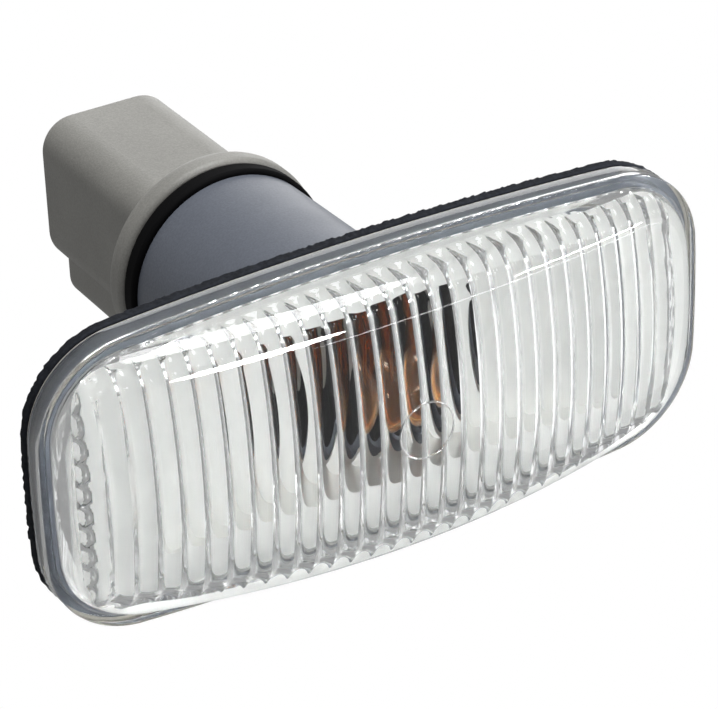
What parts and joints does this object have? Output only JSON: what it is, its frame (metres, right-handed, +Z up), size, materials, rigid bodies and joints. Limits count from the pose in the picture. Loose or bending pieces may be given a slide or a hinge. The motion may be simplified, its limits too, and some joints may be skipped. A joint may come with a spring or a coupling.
{
  "type": "side repeater lamp",
  "caption": "Clear fluted side repeater lamp with a foam gasket, a chromed reflector, a rear tube and a twist-in bulb holder with a plug socket.",
  "frame": {"origin": "on the tube axis, in the plane of the body panel at the rear face of the foam gasket", "axes": "+Y into the car body along the tube, +X along the lens, +Z up"},
  "size_m": [0.0842, 0.0739, 0.038],
  "materials": {
    "clear_lens": "clear acrylic, injection moulded",
    "foam": "closed-cell foam, die cut",
    "housing_plastic": "ABS, moulded satin",
    "metallised": "ABS, vacuum metallised",
    "holder_plastic": "polyamide, moulded matt",
    "seal_rubber": "moulded rubber",
    "contact_metal": "tinned brass strip",
    "amber_glass": "amber blown glass",
    "filament_wire": "drawn tungsten",
    "lead_wire": "drawn nickel-iron wire"
  },
  "bodies": {
    "lamp_body": {"lens": "clear_lens", "panel_gasket": "foam", "housing": "housing_plastic", "reflector": "metallised"},
    "holder": {"bulb_holder": "holder_plastic", "holder_seal": "seal_rubber", "contact_left": "contact_metal", "contact_right": "contact_metal", "bulb_glass": "amber_glass", "bulb_filament": "filament_wire", "bulb_lead_left": "lead_wire", "bulb_lead_right": "lead_wire"}
  },
  "joints": [
    {"name": "holder_twist", "type": "hinge", "parent": "lamp_body", "child": "holder", "pos_m": [0, 0.0283, 0], "axis": [0, 1, 0], "range_deg": [0, 45]}
  ]
}
